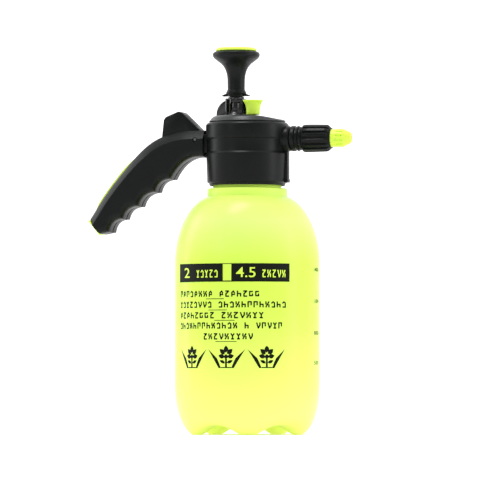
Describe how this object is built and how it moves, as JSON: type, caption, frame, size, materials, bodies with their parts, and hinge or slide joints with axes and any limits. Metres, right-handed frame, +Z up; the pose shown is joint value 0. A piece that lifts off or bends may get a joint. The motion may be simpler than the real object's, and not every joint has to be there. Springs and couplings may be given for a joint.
{
  "type": "pump sprayer",
  "caption": "Hand pressure sprayer: a translucent bottle with footed base, screwed head with air pump, grip with thumb trigger, relief valve and turning nozzle.",
  "frame": {"origin": "on the floor, under the middle of the sprayer's bounding box in X and on the bottle's axis in Y", "axes": "+Z up, +X the way the nozzle points, -X towards the grip"},
  "size_m": [0.223, 0.1196, 0.3186],
  "materials": {
    "lime_clear": "translucent, smooth",
    "lime": "moulded, satin",
    "black": "moulded, satin",
    "grey": "moulded, satin",
    "rubber": "matt",
    "natural": "uncoloured, satin",
    "steel": "stainless wire and screws"
  },
  "bodies": {
    "bottle_body": {"bottle": "lime_clear"},
    "gasket_ring": {"neck_gasket": "rubber"},
    "head": {"head_housing": "black", "top_cover": "grey", "pump_cylinder": "natural", "cylinder_o_ring": "rubber", "cylinder_check_valve": "rubber", "pump_gland_cap": "black", "relief_spring": "steel", "nozzle_barrel": "black", "nozzle_o_ring": "rubber", "swirl_core": "natural", "handle_shell_near": "black", "handle_shell_far": "black", "handle_liner": "lime", "handle_end_plug": "lime", "handle_screw_1": "steel", "handle_screw_2": "steel", "handle_screw_3": "steel", "trigger_pin": "steel", "valve_body": "natural", "valve_spring": "steel", "valve_o_ring": "rubber", "valve_cap": "black", "feed_pipe": "natural", "discharge_pipe": "natural", "dip_tube": "natural", "dip_filter": "natural"},
    "plunger_guide": {"rod_guide": "natural"},
    "plunger": {"pump_rod": "black", "pump_piston": "natural", "piston_ring": "rubber", "pump_knob": "black", "knob_cap": "lime"},
    "trigger": {"thumb_trigger": "black"},
    "valve_plunger": {"valve_stem": "black", "valve_seal": "rubber"},
    "relief": {"relief_knob": "lime", "relief_stem": "black", "relief_seal": "rubber"},
    "nozzle_collar": {"nozzle_sleeve": "black"},
    "nozzle_end": {"nozzle_tip": "lime"}
  },
  "joints": [
    {"name": "head_turn", "type": "hinge", "parent": "bottle_body", "child": "gasket_ring", "pos_m": [0.02293, 0, 0.2071], "axis": [0, 0, 1], "range_deg": [0, 450]},
    {"name": "head_lift", "type": "slide", "parent": "gasket_ring", "child": "head", "axis": [0, 0, 1], "range_m": [0, 0.215]},
    {"name": "plunger_turn", "type": "hinge", "parent": "head", "child": "plunger_guide", "pos_m": [0.01343, 0, 0.2507], "axis": [0, 0, 1], "range_deg": [0, 90]},
    {"name": "pump_stroke", "type": "slide", "parent": "plunger_guide", "child": "plunger", "axis": [0, 0, 1], "range_m": [0, 0.1]},
    {"name": "trigger_press", "type": "hinge", "parent": "head", "child": "trigger", "pos_m": [-0.01817, 0, 0.24245], "axis": [0, -1, 0], "range_deg": [0, 7], "stiffness_Nm_per_rad": 0.3, "springref_deg": -17.19},
    {"name": "valve_stem_push", "type": "slide", "parent": "head", "child": "valve_plunger", "axis": [0, 0, -1], "range_m": [0, 0.0032], "deforming": ["valve_spring"]},
    {"name": "relief_lift", "type": "slide", "parent": "head", "child": "relief", "axis": [0, 0, 1], "range_m": [0, 0.004], "stiffness_N_per_m": 400, "springref_m": -0.004, "deforming": ["relief_spring"]},
    {"name": "nozzle_turn", "type": "hinge", "parent": "head", "child": "nozzle_collar", "pos_m": [0.07143, 0, 0.24275], "axis": [1, 0, 0], "range_deg": [0, 360]},
    {"name": "tip_advance", "type": "slide", "parent": "nozzle_collar", "child": "nozzle_end", "axis": [1, 0, 0], "range_m": [0, 0.0025]}
  ],
  "couplings": [
    {"joint": "valve_stem_push", "follows": "trigger_press", "m_per_rad": 0.0259},
    {"joint": "tip_advance", "follows": "nozzle_turn", "m_per_rad": 0.00039789}
  ]
}
